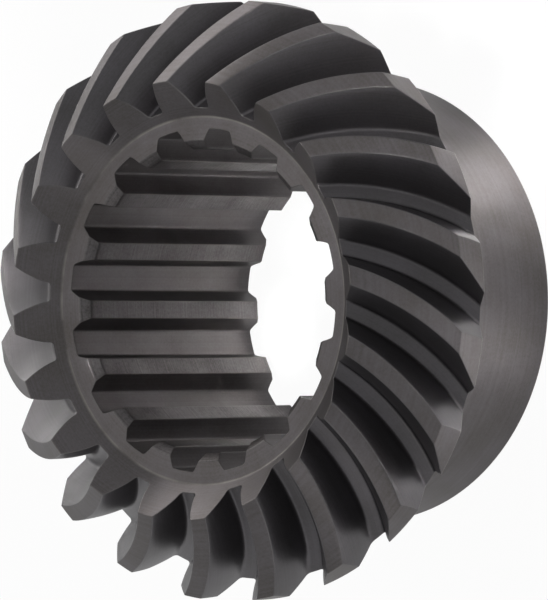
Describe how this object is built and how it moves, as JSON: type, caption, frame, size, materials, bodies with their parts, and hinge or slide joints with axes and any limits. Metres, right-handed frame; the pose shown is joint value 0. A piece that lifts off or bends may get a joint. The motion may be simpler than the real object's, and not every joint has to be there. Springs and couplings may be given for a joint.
{
  "type": "spiral bevel gear",
  "caption": "Spiral bevel gear of dark steel with curved teeth, a splined bore and a long plain cylindrical hub behind the teeth.",
  "frame": {"origin": "centre of the hub's flat back face, on the bore axis", "axes": "+Z along the bore axis, from the hub's back face towards the small end of the teeth"},
  "size_m": [0.1, 0.1, 0.0528],
  "materials": {
    "gear_steel": "dark machined steel with fine turning and cutting marks and bare bright edges"
  },
  "bodies": {
    "root": {"bevel_gear": "gear_steel"}
  },
  "joints": []
}
